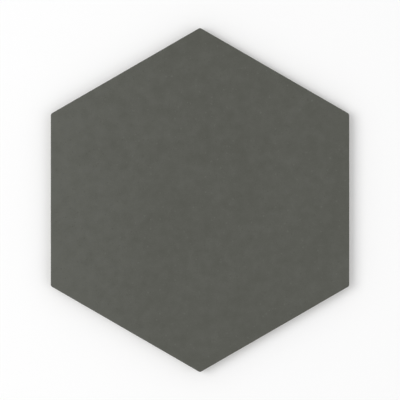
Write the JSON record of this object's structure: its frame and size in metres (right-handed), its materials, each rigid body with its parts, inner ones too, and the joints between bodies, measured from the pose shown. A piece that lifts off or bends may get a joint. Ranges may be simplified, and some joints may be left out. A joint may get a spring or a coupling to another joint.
{
  "type": "hexagon floor tile",
  "caption": "Matte dark grey hexagonal porcelain floor tile with small rounded edges, tapered sides and a honeycomb key pressed into its back.",
  "frame": {"origin": "centre of the back, on the plane of its flat lands, which is the plane the tile lies on", "axes": "+Z out of the face that is walked on, +X through the middle of a flat side, +Y through a corner"},
  "size_m": [0.216, 0.2488, 0.009],
  "materials": {
    "porcelain": "matte"
  },
  "bodies": {
    "root": {"hexagon_tile": "porcelain"}
  },
  "joints": []
}
